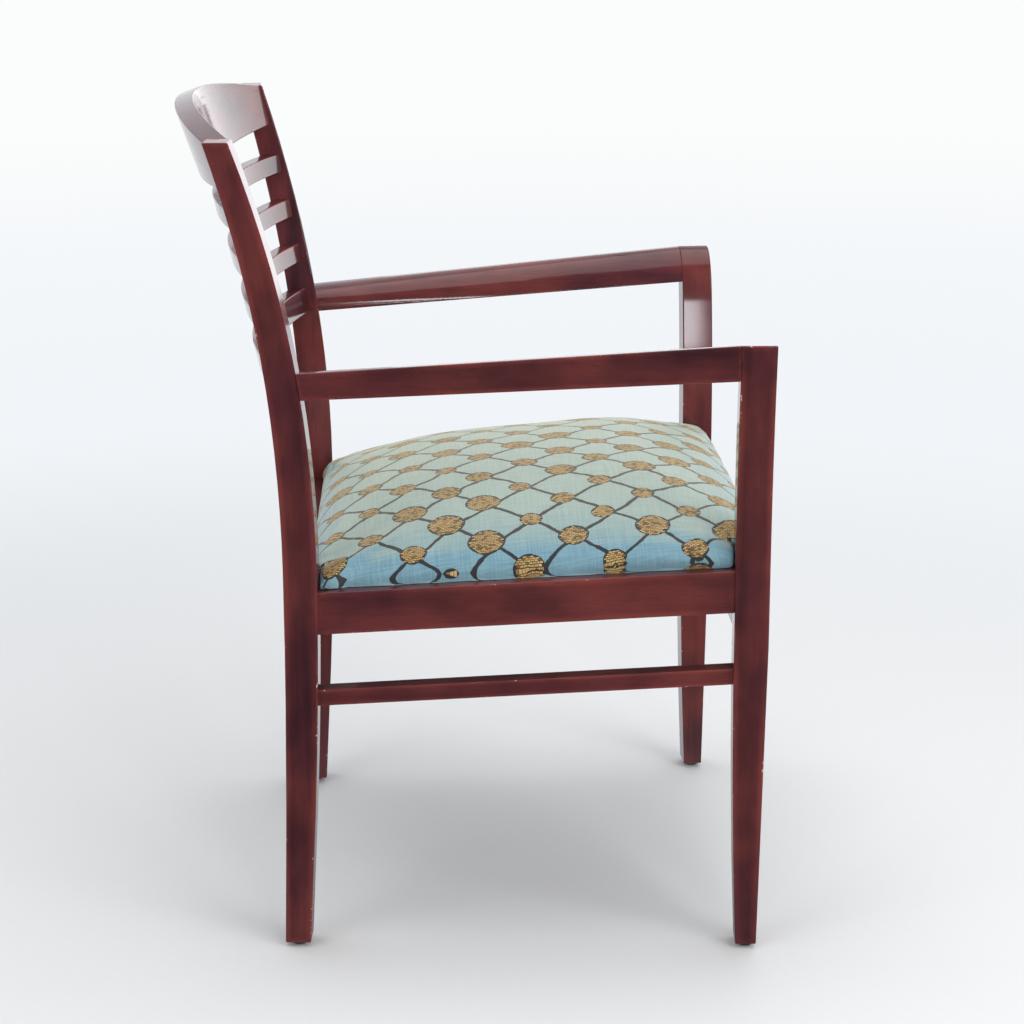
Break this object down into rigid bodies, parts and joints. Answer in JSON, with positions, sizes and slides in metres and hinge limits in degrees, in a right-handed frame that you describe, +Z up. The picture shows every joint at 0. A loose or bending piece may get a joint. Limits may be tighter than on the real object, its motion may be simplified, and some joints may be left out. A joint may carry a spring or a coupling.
{
  "type": "ladder-back armchair",
  "caption": "Ladder-back armchair with a bowed crest rail, bowed back slats, sloping flared arms, side stretchers and a crowned upholstered seat.",
  "frame": {"origin": "on the floor, at the middle of the chair's width and depth", "axes": "+Z up, the chair faces -Y, X across the chair with the sitter's left at +X"},
  "size_m": [0.6098, 0.6134, 0.8853],
  "materials": {
    "mahogany": "satin lacquer over a dark red-brown stain",
    "block_wood": "unfinished",
    "plywood": "unfinished plywood",
    "foam": "open-cell upholstery foam",
    "seat_fabric": "woven upholstery fabric with a stitched pattern",
    "dust_fabric": "black non-woven cloth",
    "screw_steel": "zinc plated",
    "dowel_wood": "unfinished beech",
    "glide_plastic": "moulded nylon, matt"
  },
  "bodies": {
    "root": {"back_post_left": "mahogany", "back_post_right": "mahogany", "front_leg_left": "mahogany", "front_leg_right": "mahogany", "arm_left": "mahogany", "arm_right": "mahogany", "crest_rail": "mahogany", "back_slat_1": "mahogany", "back_slat_2": "mahogany", "back_slat_3": "mahogany", "back_slat_4": "mahogany", "front_seat_rail": "mahogany", "rear_seat_rail": "mahogany", "side_seat_rail_left": "mahogany", "side_seat_rail_right": "mahogany", "side_stretcher_left": "mahogany", "side_stretcher_right": "mahogany", "corner_block_front_left": "block_wood", "corner_block_front_right": "block_wood", "corner_block_rear_left": "block_wood", "corner_block_rear_right": "block_wood", "seat_board": "plywood", "seat_foam": "foam", "seat_cover": "seat_fabric", "dust_cloth": "dust_fabric", "seat_screws": "screw_steel", "corner_block_screws": "screw_steel", "rail_dowels": "dowel_wood", "arm_dowels": "dowel_wood", "stretcher_dowels": "dowel_wood", "crest_dowels": "dowel_wood", "glide_front_left": "glide_plastic", "glide_front_right": "glide_plastic", "glide_rear_left": "glide_plastic", "glide_rear_right": "glide_plastic"}
  },
  "joints": []
}
